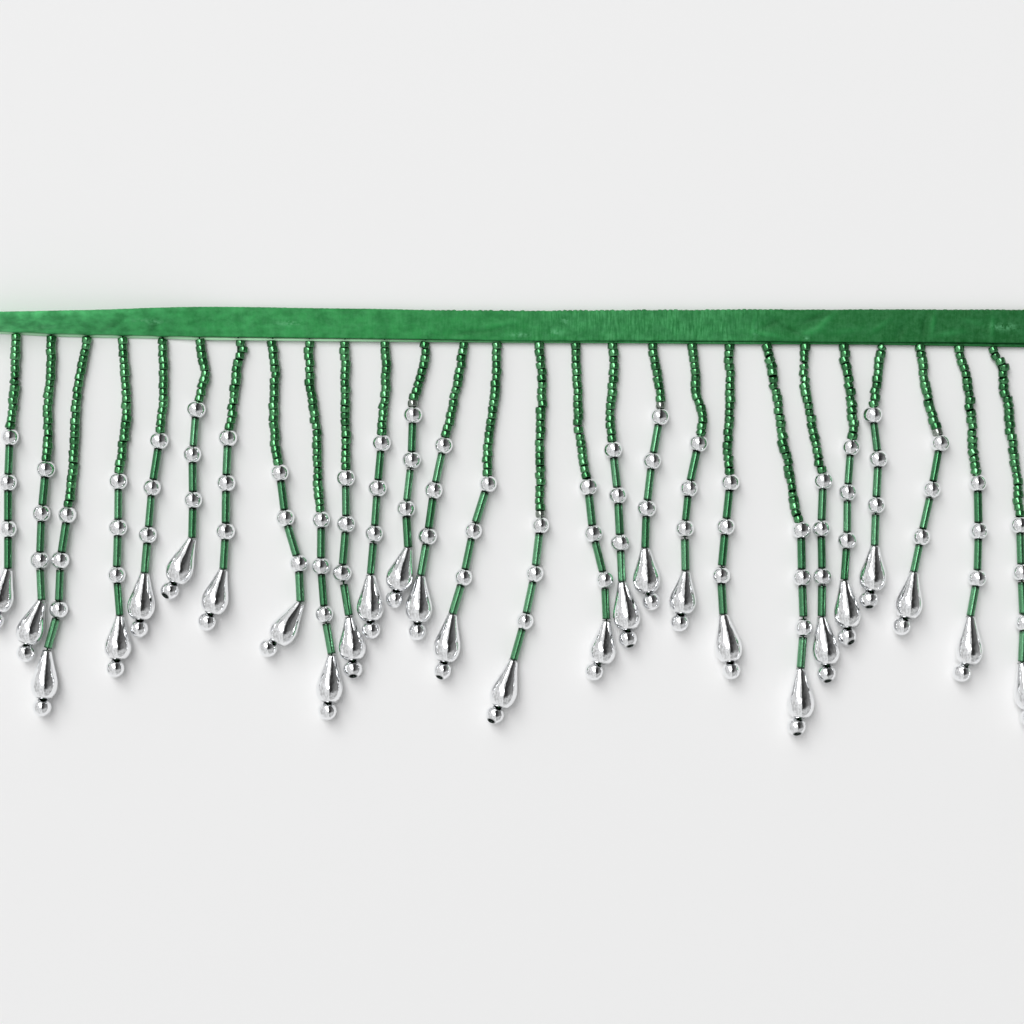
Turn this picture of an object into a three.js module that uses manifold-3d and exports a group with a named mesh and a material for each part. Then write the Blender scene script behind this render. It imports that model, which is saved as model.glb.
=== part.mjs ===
// Beaded fringe trim, laid flat: a ribbon heading folded lengthwise over a row of thread, with 27 strands
// of glass and silver beads sewn into the fold. Millimetres. +X runs along the ribbon, -Y is the way the
// strands hang, +Z is up off the surface. The origin is on the underside of the heading, at its middle.
import * as THREE from "three";
import Module from "manifold-3d";
import { mergeVertices } from "three/addons/utils/BufferGeometryUtils.js";

// Beads, as a bead shop sizes them
const BALL = 4;
const BALL_SEAT = 1.7;
const BUGLE_WIDTH = 1.8;
const SEED_WIDTH = 2.2;
const DROP_WIDTH = 5.9;
const DROP_NECK = 1.9;

// The folded ribbon: two legs, with the thread tape held between them
const RIBBON_LAYER = 1;
const CLEARANCE = 0.45;
const TAPE_THICKNESS = 0.3;
const FOLD_THICKNESS = 2 * (RIBBON_LAYER + CLEARANCE) + TAPE_THICKNESS;
const HALF_LENGTH = 116;
const STATION_STEP = 2.9;
const OUTER_FOLD_STEPS = 6;
const INNER_FOLD_STEPS = 4;

// The thread tape inside the fold, from the open edge of the fold
const TAPE_LOW = 1.2;
const TAPE_HIGH = 3.2;
const TAPE_END_INSET = 1;

// Where a strand leaves the tape
const ROOT_DEPTH = 0.8;
const ROOT_HALF_WIDTH = 0.4;
const ROOT_HALF_THICKNESS = 0.12;
const MOUTH = 0.3;
const FIRST_SEED = 0.45;
const LAST_SEED = 0.4;

// Heights of the beads' axes over the surface, and how fast the seed run settles and rises
const SEED_REST = SEED_WIDTH / 2;
const BALL_REST = BALL / 2;
const DROP_REST = DROP_WIDTH / 2;
const SETTLE_LENGTH = 4;
const RISE_LENGTH = 6;
const SEEDS_TO_A_STEP = 3;

// The heading from left to right. x: place along it. low: the y of its open edge. width: from the fold to
// the back leg's edge. lip: how far the back leg shows below the face. tilt: degrees that the fold is lifted
// off the surface.
const HEADING = [
  // x, low, width, lip, tilt
  [-116.0, -1.3, 7.05, 0.40, 57],
  [-111.3, -1.4, 7.05, 0.40, 54],
  [-99.6, -2.0, 7.05, 0.60, 43],
  [-87.8, -2.3, 7.05, 0.55, 34],
  [-75.9, -2.5, 7.05, 0.50, 21],
  [-57.0, -2.9, 7.05, 0.65, 0],
  [-37.4, -3.1, 7.00, 0.60, 0],
  [-13.5, -3.3, 6.85, 0.50, 0],
  [0.0, -3.4, 6.85, 0.35, 0],
  [23.5, -3.5, 7.05, 0.45, 0],
  [48.5, -3.7, 7.35, 0.60, 0],
  [73.5, -3.8, 7.45, 0.40, 0],
  [95.2, -4.1, 7.75, 0.70, 0],
  [116.0, -4.5, 8.05, 0.85, 0],
].map(([x, low, width, lip, tilt]) => ({ x, low, width, lip, tilt }));

// The strands from left to right, as they lie. seeds: how many seed beads hang above ball 1. root: x at the
// ribbon's edge. sway: how far the seed run bows sideways at a quarter, a half and three quarters of its
// length. The beads' centres follow, each x counted from the root. neck: the top of the teardrop. bulb: x of
// its widest place. end: the last ball.
const STRANDS = [
  // seeds, root, sway a, b, c, ball 1 x, y, ball 2 x, y, ball 3 x, y, neck x, y, bulb, end x, y
  [15, -107.9, 0.1, 0.2, 0.1, -1.2, -24.0, -1.6, -33.9, -1.6, -44.0, -1.6, -52.7, -3.2, -4.3, -63.8],
  [20, -100.3, 0.2, -0.2, 0.2, -1.0, -31.0, -1.9, -40.6, -2.3, -50.8, -1.9, -59.6, -4.2, -5.2, -70.9],
  [27, -92.3, -0.9, -0.6, 0.0, -4.3, -40.9, -5.8, -50.8, -6.2, -61.5, -8.7, -70.4, -9.1, -9.7, -82.7],
  [21, -84.8, 0.8, 1.3, 0.7, -0.7, -33.6, -0.8, -43.7, -1.1, -54.0, -0.4, -62.9, -0.7, -1.3, -74.2],
  [15, -76.1, 0.4, 0.6, 0.4, -0.5, -24.8, -2.1, -35.0, -3.0, -45.3, -3.7, -53.6, -4.3, -4.8, -65.6],
  [10, -68.0, 0.9, 1.6, 0.9, -0.6, -18.0, -1.4, -27.8, -1.3, -37.7, -1.5, -46.0, -4.0, -6.2, -57.3],
  [14, -59.6, 0.4, 0.3, 0.2, -2.1, -24.2, -2.5, -34.0, -2.6, -44.5, -3.1, -52.8, -4.8, -6.6, -64.1],
  [20, -52.1, 0.1, -0.5, -0.7, 1.7, -31.8, 2.9, -41.6, 5.8, -51.5, 6.2, -59.9, 2.6, -0.8, -69.8],
  [27, -44.1, -0.4, 0.3, -0.2, 2.7, -42.0, 2.6, -52.1, 3.4, -62.5, 5.0, -71.4, 4.5, 4.1, -83.5],
  [20, -36.3, 0.0, -0.1, 0.2, 0.2, -32.9, 0.3, -42.9, -0.6, -53.6, 1.0, -63.2, 1.7, 1.8, -74.4],
  [15, -27.7, 0.5, 0.6, 0.1, -0.6, -25.3, -1.5, -35.1, -2.2, -45.0, -3.0, -54.0, -3.0, -2.8, -65.9],
  [10, -18.8, 0.5, 0.2, -0.5, -2.7, -19.2, -3.0, -29.0, -4.2, -39.6, -3.7, -48.1, -5.5, -6.6, -59.2],
  [15, -10.5, 0.4, 0.4, 0.2, -4.3, -25.8, -6.4, -35.6, -7.8, -45.6, -9.3, -54.2, -9.7, -10.0, -66.2],
  [21, -3.3, 0.4, 0.1, -0.5, -1.9, -34.2, -5.1, -44.4, -7.2, -54.5, -9.6, -62.5, -10.8, -11.7, -74.7],
  [27, 5.9, 0.8, 0.1, 0.1, 0.3, -43.2, -0.9, -53.7, -3.1, -64.0, -5.5, -72.5, -7.7, -9.6, -84.3],
  [21, 13.8, -0.2, -0.7, -0.6, 2.8, -34.8, 3.9, -45.0, 6.4, -55.0, 6.8, -64.0, 5.9, 4.1, -74.9],
  [15, 22.1, 0.2, -0.3, -0.5, -0.1, -26.8, 1.0, -36.7, 1.5, -47.0, 1.9, -55.5, 2.8, 3.1, -67.8],
  [10, 30.6, 0.2, 0.5, 0.6, 1.6, -19.6, -0.1, -29.2, -1.3, -39.5, -1.6, -48.2, -1.4, -0.3, -59.7],
  [15, 39.2, 0.4, 0.3, 1.4, 1.4, -25.4, -0.7, -35.2, -1.6, -43.9, -1.4, -53.2, -2.1, -2.7, -64.3],
  [20, 47.3, 0.2, 0.0, -0.4, 0.2, -33.9, -0.8, -43.5, -1.8, -54.1, -1.3, -62.6, -0.3, 0.4, -74.7],
  [28, 55.6, 0.1, -0.2, -0.2, 7.3, -44.2, 7.5, -54.5, 7.9, -65.4, 7.2, -74.3, 7.1, 6.2, -86.9],
  [20, 64.1, -1.3, -0.9, -0.4, 3.6, -33.5, 3.2, -43.9, 3.4, -54.3, 3.3, -63.1, 4.1, 4.2, -75.4],
  [15, 72.3, 0.5, 0.8, 1.1, 1.4, -26.2, 0.7, -36.0, 0.6, -46.5, 0.0, -55.2, 0.5, 0.5, -67.3],
  [10, 80.5, 0.0, 0.0, -0.1, -2.0, -19.2, -0.8, -28.8, -1.3, -38.8, -1.6, -47.7, -2.2, -3.0, -59.3],
  [15, 89.0, -0.4, -0.5, -0.2, 4.1, -25.3, 2.3, -35.4, 0.0, -45.7, -1.6, -53.4, -2.8, -4.3, -65.1],
  [20, 97.3, 0.9, 0.7, 0.2, 4.0, -34.0, 4.2, -44.4, 3.9, -54.7, 2.4, -63.0, 2.0, 0.4, -75.2],
  [27, 104.9, 1.1, 1.2, 1.0, 5.6, -43.1, 5.9, -53.4, 6.4, -64.3, 6.0, -73.0, 7.1, 7.5, -85.0],
].map(([seeds, root, a, b, c, x1, y1, x2, y2, x3, y3, neckX, neckY, bulb, endX, endY]) => {
  const place = (x, y) => new THREE.Vector2(root + x, y);
  return {
    seeds,
    root,
    sway: [a, b, c],
    balls: [place(x1, y1), place(x2, y2), place(x3, y3)],
    neck: place(neckX, neckY),
    bulb: root + bulb,
    end: place(endX, endY),
  };
});

// A smooth reading of one column of the heading's table, with no overshoot between its rows
function headingValue(column, x) {
  const last = HEADING.length - 2;
  let row = 0;
  while (row < last && x > HEADING[row + 1].x) row += 1;
  const span = (i) => HEADING[i + 1].x - HEADING[i].x;
  const rise = (i) => (HEADING[i + 1][column] - HEADING[i][column]) / span(i);
  const slope = (i) => {
    if (i === 0) return rise(0);
    if (i > last) return rise(last);
    const [before, after] = [rise(i - 1), rise(i)];
    return before * after > 0 ? (2 * before * after) / (before + after) : 0;
  };
  const t = (x - HEADING[row].x) / span(row);
  const ease = t * t * (3 - 2 * t);
  const start = HEADING[row][column] * (1 - ease) + HEADING[row + 1][column] * ease;
  const bend = t * (1 - t) * ((1 - t) * slope(row) - t * slope(row + 1));
  return start + bend * span(row);
}

// The heading's section at x, with the pivot that its tilt turns about: the back leg's edge, on the surface
function headingAt(x) {
  const tilt = THREE.MathUtils.degToRad(headingValue("tilt", x));
  const lip = headingValue("lip", x);
  const low = headingValue("low", x);
  const overhang = FOLD_THICKNESS * Math.sin(tilt) - lip * Math.cos(tilt);
  return { x, tilt, lip, low, width: headingValue("width", x), pivot: low + Math.max(0, overhang) };
}

// A point of the section: across it from the open edge towards the fold, and up from its underside
function inSection({ x, tilt, pivot }, across, up) {
  const y = pivot + across * Math.cos(tilt) - up * Math.sin(tilt);
  const z = across * Math.sin(tilt) + up * Math.cos(tilt);
  return new THREE.Vector3(x, y, z);
}

// The sections that the ribbon and the tape are lofted through, evenly spaced from end to end
const SECTION_COUNT = Math.round((2 * HALF_LENGTH) / STATION_STEP) + 1;
const SECTIONS = Array.from({ length: SECTION_COUNT }, (_, i) => headingAt(i * STATION_STEP - HALF_LENGTH));

// A point inside the fold at any x, on the straight lines between the sections on either side of it
function inFold(x, across, up) {
  const place = (x + HALF_LENGTH) / STATION_STEP;
  const before = Math.min(Math.floor(place), SECTION_COUNT - 2);
  const [a, b] = [before, before + 1].map((i) => inSection(SECTIONS[i], across, up));
  return a.lerp(b, place - before);
}

// A closed skin over rings of points, each ring counter-clockwise seen from ahead, with flat caps
function loft(rings, capTriangles) {
  const count = rings[0].length;
  const positions = rings.flat().flatMap((p) => [p.x, p.y, p.z]);
  const index = [];
  for (let ring = 0; ring + 1 < rings.length; ring += 1) {
    for (let i = 0; i < count; i += 1) {
      const next = (i + 1) % count;
      const [a, b] = [ring * count + i, ring * count + next];
      index.push(a, b, b + count, a, b + count, a + count);
    }
  }
  const end = (rings.length - 1) * count;
  for (const [a, b, c] of capTriangles) {
    index.push(c, b, a);
    index.push(end + a, end + b, end + c);
  }
  const geometry = new THREE.BufferGeometry();
  geometry.setAttribute("position", new THREE.Float32BufferAttribute(positions, 3));
  geometry.setIndex(index);
  return geometry;
}

// A square section's corners, sideways and up, and the two triangles that cap it
const SQUARE = [
  [-1, -1],
  [1, -1],
  [1, 1],
  [-1, 1],
];
const SQUARE_CAP = [
  [0, 1, 2],
  [0, 2, 3],
];

// The ribbon's outline in its section: a U on its side, open at the left, with a round fold at the right
function ribbonOutline({ width, lip }) {
  const outer = FOLD_THICKNESS / 2;
  const inner = outer - RIBBON_LAYER;
  const centre = width - outer;
  const arc = (radius, steps, from, to) =>
    Array.from({ length: steps + 1 }, (_, i) => {
      const angle = from + ((to - from) * i) / steps;
      return new THREE.Vector2(centre + radius * Math.cos(angle), outer + radius * Math.sin(angle));
    });
  return [
    new THREE.Vector2(0, 0),
    ...arc(outer, OUTER_FOLD_STEPS, -Math.PI / 2, Math.PI / 2),
    new THREE.Vector2(lip, FOLD_THICKNESS),
    new THREE.Vector2(lip, FOLD_THICKNESS - RIBBON_LAYER),
    ...arc(inner, INNER_FOLD_STEPS, Math.PI / 2, -Math.PI / 2),
    new THREE.Vector2(0, RIBBON_LAYER),
  ];
}

function ribbonHeading() {
  const rings = SECTIONS.map((section) => ribbonOutline(section).map((p) => inSection(section, p.x, p.y)));
  const cap = THREE.ShapeUtils.triangulateShape(ribbonOutline(headingAt(0)), []);
  return loft(rings, cap);
}

// The tape is a flat bar that follows the heading, between the legs
function threadTape() {
  const low = FOLD_THICKNESS / 2 - TAPE_THICKNESS / 2;
  const high = low + TAPE_THICKNESS;
  const corners = [
    [TAPE_LOW, low],
    [TAPE_HIGH, low],
    [TAPE_HIGH, high],
    [TAPE_LOW, high],
  ];
  const end = HALF_LENGTH - TAPE_END_INSET;
  const places = SECTIONS.map(({ x }) => THREE.MathUtils.clamp(x, -end, end));
  const rings = places.map((x) => corners.map(([across, up]) => inFold(x, across, up)));
  return loft(rings, SQUARE_CAP);
}

// The way the strands leave the ribbon
const OUTWARD = new THREE.Vector3(0, -1, 0);

// A square ring about a point of a strand, upright and facing the way the strand runs
function squareRing(centre, direction, halfWidth) {
  const side = new THREE.Vector3(-direction.y, direction.x, 0).normalize();
  const up = new THREE.Vector3(0, 0, 1);
  return SQUARE.map(([sideways, upwards]) =>
    centre.clone().addScaledVector(side, sideways * halfWidth).addScaledVector(up, upwards * halfWidth));
}

// How the outline of a round bead grows and shrinks along its hole, from seat to seat
const BALL_OUTLINE = [
  // along, half-width
  [-BALL_SEAT, BUGLE_WIDTH / 2],
  [-1.25, 1.56],
  [-0.55, BALL / 2],
  [0.55, BALL / 2],
  [1.25, 1.56],
  [BALL_SEAT, BUGLE_WIDTH / 2],
];

// The teardrop's outline: a straight taper to its widest place, then round to the tip
const BULB_PLACE = 0.7;
const DROP_OUTLINE = [
  // share of the length, half-width
  [0.02, DROP_NECK / 2],
  [0.36, 1.98],
  [0.62, 2.78],
  [BULB_PLACE + 0.04, DROP_WIDTH / 2],
  [0.87, 2.35],
  [0.97, 1.1],
];

// Rings of a ball whose hole points along the direction, in a picture-plane frame
function ballRings(centre, direction) {
  return BALL_OUTLINE.map(([along, halfWidth]) => {
    const place = centre.clone().addScaledVector(direction, along);
    return squareRing(place, direction, halfWidth);
  });
}

// The middle of the seed run at a share t of its length: a smooth bow through the sway values
function seedCurve(strand, start) {
  const ball = strand.balls[0];
  const shares = [0, 0.25, 0.5, 0.75, 1];
  const sways = [0, ...strand.sway, 0];
  const points = shares.map((share, i) => {
    const x = THREE.MathUtils.lerp(start.x, ball.x, share) + sways[i];
    return new THREE.Vector3(x, THREE.MathUtils.lerp(start.y, ball.y, share), 0);
  });
  return new THREE.CatmullRomCurve3(points, false, "catmullrom", 0.5);
}

// The seed run's height: down from the ribbon to the surface, along it, and up to the first ball's hole
function seedHeight(startHeight, fromStart, toBall) {
  const { smoothstep } = THREE.MathUtils;
  const above = (startHeight - SEED_REST) * (1 - smoothstep(fromStart, 0, SETTLE_LENGTH));
  const below = (BALL_REST - SEED_REST) * (1 - smoothstep(toBall, BALL_SEAT, BALL_SEAT + RISE_LENGTH));
  return SEED_REST + above + below;
}

// One strand: root in the tape, seed run, ball and bugle three times, teardrop, end ball
function strandGeometry(strand) {
  const middle = FOLD_THICKNESS / 2;
  const rootRing = (across) =>
    SQUARE.map(([side, up]) =>
      inFold(strand.root + side * ROOT_HALF_WIDTH, across, middle + up * ROOT_HALF_THICKNESS));
  const rings = [rootRing(TAPE_LOW + ROOT_DEPTH), rootRing(-MOUTH)];
  const mouth = inFold(strand.root, -MOUTH, middle);
  const clear = FIRST_SEED - MOUTH;
  const edge = Math.min(headingValue("low", strand.root) - FIRST_SEED, mouth.y - clear);
  const start = new THREE.Vector3(strand.root, edge, Math.max(mouth.z, SEED_REST));

  const curve = seedCurve(strand, start);
  const run = curve.getLength();
  const lastShare = (run - BALL_SEAT - LAST_SEED) / run;
  const steps = Math.ceil(strand.seeds / SEEDS_TO_A_STEP);
  for (let i = 0; i <= steps; i += 1) {
    const share = (lastShare * i) / steps;
    const place = curve.getPointAt(share);
    place.z = seedHeight(start.z, share * run, run - share * run);
    const direction = i === 0 ? OUTWARD : curve.getTangentAt(share);
    rings.push(squareRing(place, direction, SEED_WIDTH / 2));
  }

  const level = (point, z) => new THREE.Vector3(point.x, point.y, z);
  const balls = strand.balls.map((ball) => level(ball, BALL_REST));
  const neck = level(strand.neck, BALL_REST);
  const end = level(strand.end, BALL_REST);
  balls.forEach((ball, i) => {
    const before = i === 0 ? curve.getPointAt(lastShare) : balls[i - 1];
    const after = i === balls.length - 1 ? neck : balls[i + 1];
    const incoming = level(ball, 0).sub(level(before, 0)).normalize();
    const outgoing = level(after, 0).sub(level(ball, 0)).normalize();
    rings.push(...ballRings(ball, incoming.add(outgoing).normalize()));
  });

  const dropLength = neck.distanceTo(end) - BALL / 2;
  const lean = (strand.bulb - neck.x) / (BULB_PLACE * dropLength);
  const along = new THREE.Vector3(lean, -Math.sqrt(1 - lean * lean), 0);
  const lift = (DROP_REST - BALL_REST) / (BULB_PLACE + 0.04);
  for (const [share, halfWidth] of DROP_OUTLINE) {
    const place = neck.clone().addScaledVector(along, share * dropLength);
    place.z = BALL_REST + lift * share;
    rings.push(squareRing(place, along, halfWidth));
  }
  const tip = neck.clone().addScaledVector(along, dropLength);
  const last = level(end, 0).sub(level(tip, 0)).normalize().add(along).normalize();
  rings.push(...ballRings(end, last));
  return loft(rings, SQUARE_CAP);
}

const wasm = await Module();
wasm.setup();

function toSolid(geometry) {
  const merged = mergeVertices(geometry, 1e-4);
  const vertProperties = new Float32Array(merged.attributes.position.array);
  const triVerts = new Uint32Array(merged.index.array);
  return new wasm.Manifold(new wasm.Mesh({ numProp: 3, vertProperties, triVerts }));
}

function toGeometry(solid) {
  const { vertProperties, triVerts, numProp } = solid.getMesh();
  const geometry = new THREE.BufferGeometry();
  const positions = Float32Array.from(vertProperties);
  geometry.setAttribute("position", new THREE.BufferAttribute(positions, numProp));
  geometry.setIndex(new THREE.BufferAttribute(Uint32Array.from(triVerts), 1));
  return geometry;
}

// The tape and every strand, fused at the roots
function beadFringe() {
  let fringe = toSolid(threadTape());
  for (const strand of STRANDS) fringe = fringe.add(toSolid(strandGeometry(strand)));
  return toGeometry(fringe);
}

const satin = new THREE.MeshStandardMaterial({ color: 0x2f8a4a, roughness: 0.5, metalness: 0 });
const beads = new THREE.MeshStandardMaterial({ color: 0x6d9d7d, roughness: 0.15, metalness: 0.4 });

const heading = new THREE.Mesh(ribbonHeading(), satin);
heading.name = "ribbon_heading";
const fringe = new THREE.Mesh(beadFringe(), beads);
fringe.name = "bead_fringe";

const group = new THREE.Group();
group.name = "beaded_fringe_trim";
group.add(heading, fringe);

export default group;
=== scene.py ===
import math

import bpy
import numpy as np
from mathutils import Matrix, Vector


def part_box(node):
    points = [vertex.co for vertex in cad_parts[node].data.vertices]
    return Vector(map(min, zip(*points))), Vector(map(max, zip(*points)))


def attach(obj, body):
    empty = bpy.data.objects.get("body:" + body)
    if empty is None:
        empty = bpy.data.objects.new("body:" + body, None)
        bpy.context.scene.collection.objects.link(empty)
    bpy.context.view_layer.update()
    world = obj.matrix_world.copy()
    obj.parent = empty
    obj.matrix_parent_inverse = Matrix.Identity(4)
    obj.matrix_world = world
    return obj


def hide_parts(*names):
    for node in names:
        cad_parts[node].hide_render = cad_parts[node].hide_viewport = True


# A beaded fringe trim, laid flat: a folded satin ribbon with 27 strands of green glass and silver beads.
# Metres. +X runs along the ribbon, -Y is the way the strands hang, +Z is up off the table.
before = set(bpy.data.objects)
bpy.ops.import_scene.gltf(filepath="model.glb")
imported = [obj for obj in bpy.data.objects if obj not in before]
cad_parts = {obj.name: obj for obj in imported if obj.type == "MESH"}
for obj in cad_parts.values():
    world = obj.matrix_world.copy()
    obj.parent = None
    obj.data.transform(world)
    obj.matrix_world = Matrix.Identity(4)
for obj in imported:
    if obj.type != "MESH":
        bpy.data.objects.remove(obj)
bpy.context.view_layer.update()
MM = 0.001
rng = np.random.default_rng(27)


# The camera looks straight down on the trim. The picture is 1024 pixels wide, 4.6 of them to a millimetre at
# the height of the silver balls' middles. The heading's middle lies on its column 511.7 and row 326.5.
PICTURE_PIXELS = 1024
PIXELS_PER_MM = 4.6
HEADING_COLUMN = 511.7
HEADING_ROW = 326.5
CAMERA_LENS = 85
CAMERA_SENSOR = 36
BALL_RADIUS = 2 * MM
picture_width = PICTURE_PIXELS / PIXELS_PER_MM * MM
picture_centre_x = (PICTURE_PIXELS / 2 - HEADING_COLUMN) / PIXELS_PER_MM * MM
picture_centre_y = (HEADING_ROW - PICTURE_PIXELS / 2) / PIXELS_PER_MM * MM

camera_data = bpy.data.cameras.new("camera")
camera_data.lens = CAMERA_LENS
camera_data.sensor_width = CAMERA_SENSOR
camera_data.clip_start = 0.01
camera = bpy.data.objects.new("camera", camera_data)
camera_height = BALL_RADIUS + picture_width * CAMERA_LENS / CAMERA_SENSOR
camera.location = (picture_centre_x, picture_centre_y, camera_height)
bpy.context.scene.collection.objects.link(camera)
bpy.context.scene.camera = camera


# The table and the light: a plain pale table, one long soft lamp from the upper left, and a pale room whose
# dark side, to the right, is what the silver beads mirror as a dark patch.
FLOOR_HALF_WIDTH = 6.0
FLOOR_COLOUR = (0.9, 0.9, 0.9, 1)
LAMP_DIRECTION = Vector((-0.26, 0.46, 0.85)).normalized()
LAMP_DISTANCE = 4.5
LAMP_SIZE = (1.8, 4.5)
LAMP_POWER = 123
ROOM_PATCHES = (0.38, 0.52)
ROOM_LIGHT = (0.6, 0.92)
ROOM_SLOPE = -0.1
GLOW_NEAR = (0.72, 0.97)
ROOM_GLOW = 0.25
ROOM_RIGHT = -0.25
DARK_FROM_X = (0.11, 0.16)
DARK_FROM_Y = (-0.60, -0.46)
DARK_CLIMB = -0.45
DARK_UNEVEN = 0.8
DARK_PATCHES = 0.9
DARK_PALES = (0.9, 1.8)
ROOM_DARK = (0.04, 0.45)


def set_inputs(node, inputs):
    """Each input, named or numbered, takes its value or is linked to the output given. A node in an output's
    place stands for the first of its outputs that is in use."""
    for socket, value in dict(inputs).items():
        if isinstance(value, bpy.types.Node):
            value = next(output for output in value.outputs if not output.is_unavailable)
        if isinstance(value, bpy.types.NodeSocket):
            node.id_data.links.new(value, node.inputs[socket])
        else:
            node.inputs[socket].default_value = value


def add_node(tree, kind, inputs=(), **settings):
    """One shader node, with its settings and its inputs."""
    node = tree.nodes.new(kind)
    for name, value in settings.items():
        setattr(node, name, value)
    set_inputs(node, inputs)
    return node


def maths(tree, operation, *values):
    """A sum on numbers and outputs, such as ADD, MULTIPLY or, for a b + c, MULTIPLY_ADD."""
    return add_node(tree, "ShaderNodeMath", dict(enumerate(values)), operation=operation)


def map_range(tree, value, start, end=(0.0, 1.0)):
    """The value, carried in a straight line from one range to the other and held inside it."""
    limits = {"From Min": start[0], "From Max": start[1], "To Min": end[0], "To Max": end[1]}
    return add_node(tree, "ShaderNodeMapRange", {"Value": value, **limits})


def mix(tree, share, first, second, kind="RGBA"):
    """A blend that goes from the first colour or number to the second as the share goes from 0 to 1."""
    return add_node(tree, "ShaderNodeMix", {"Factor": share, "A": first, "B": second}, data_type=kind)


def build_room():
    """The room's light by direction: pale with faint patches, a little paler towards the foot of the picture
    and to the left, and palest round the lamp, but dark where x and y are past their steps. The dark part is
    darkest at its left edge, pales to the right, and has an uneven lower edge that climbs to the right."""
    world = bpy.data.worlds.new("room")
    bpy.context.scene.world = world
    world.use_nodes = True
    tree = world.node_tree
    tree.nodes.clear()
    direction = add_node(tree, "ShaderNodeTexCoord").outputs["Generated"]
    axes = add_node(tree, "ShaderNodeSeparateXYZ", {0: direction}).outputs
    noise = {"Vector": direction, "Scale": 4.0, "Detail": 2.0, "Distortion": 0.6}
    patches = add_node(tree, "ShaderNodeTexNoise", noise)
    light = map_range(tree, patches, ROOM_PATCHES, ROOM_LIGHT)
    sloped = maths(tree, "MULTIPLY_ADD", axes["Y"], ROOM_SLOPE, light)
    to_lamp = {0: direction, 1: LAMP_DIRECTION}
    near_lamp = add_node(tree, "ShaderNodeVectorMath", to_lamp, operation="DOT_PRODUCT")
    glowing = maths(tree, "ADD", map_range(tree, near_lamp, GLOW_NEAR, (0, ROOM_GLOW)), sloped)
    past_x = map_range(tree, axes["X"], DARK_FROM_X)
    climbing = maths(tree, "MULTIPLY_ADD", axes["X"], DARK_CLIMB, axes["Y"])
    uneven_y = maths(tree, "MULTIPLY_ADD", patches, DARK_UNEVEN, climbing)
    past_y = map_range(tree, uneven_y, [y + DARK_UNEVEN / 2 for y in DARK_FROM_Y])
    right = maths(tree, "MULTIPLY_ADD", past_x, ROOM_RIGHT, glowing)
    paling = maths(tree, "MULTIPLY_ADD", patches, DARK_PATCHES, axes["X"])
    dark = map_range(tree, paling, DARK_PALES, ROOM_DARK)
    level = mix(tree, maths(tree, "MULTIPLY", past_x, past_y), right, dark, "FLOAT")
    seen = add_node(tree, "ShaderNodeLightPath").outputs["Is Camera Ray"]
    background = add_node(tree, "ShaderNodeBackground", {"Strength": mix(tree, seen, level, 1.0, "FLOAT")})
    add_node(tree, "ShaderNodeOutputWorld", {"Surface": background})


def new_material(name, **values):
    """A material with its node tree and its Principled shader, whose sockets take the values given."""
    material = bpy.data.materials.new(name)
    material.use_nodes = True
    tree = material.node_tree
    shader = tree.nodes["Principled BSDF"]
    set_inputs(shader, {socket.replace("_", " "): value for socket, value in values.items()})
    return material, tree, shader


def build_table_and_lamp():
    """A flat square floor at z = 0 and an oblong lamp that faces the middle of the picture."""
    w = FLOOR_HALF_WIDTH
    mesh = bpy.data.meshes.new("table")
    mesh.from_pydata([(-w, -w, 0), (w, -w, 0), (w, w, 0), (-w, w, 0)], [], [(0, 1, 2, 3)])
    table = bpy.data.objects.new("table", mesh)
    bpy.context.scene.collection.objects.link(table)
    matt = {"Base_Color": FLOOR_COLOUR, "Roughness": 0.9, "Specular_IOR_Level": 0.1}
    mesh.materials.append(new_material("table_white", **matt)[0])
    lamp_data = bpy.data.lights.new("lamp", "AREA")
    lamp_data.shape = "RECTANGLE"
    lamp_data.size, lamp_data.size_y = LAMP_SIZE
    lamp_data.energy = LAMP_POWER
    lamp = bpy.data.objects.new("lamp", lamp_data)
    lamp.location = Vector((0, picture_centre_y, 0)) + LAMP_DIRECTION * LAMP_DISTANCE
    lamp.rotation_euler = LAMP_DIRECTION.to_track_quat("Z", "Y").to_euler()
    bpy.context.scene.collection.objects.link(lamp)


bpy.context.scene.view_settings.view_transform = "Standard"
build_room()
build_table_and_lamp()


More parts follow.
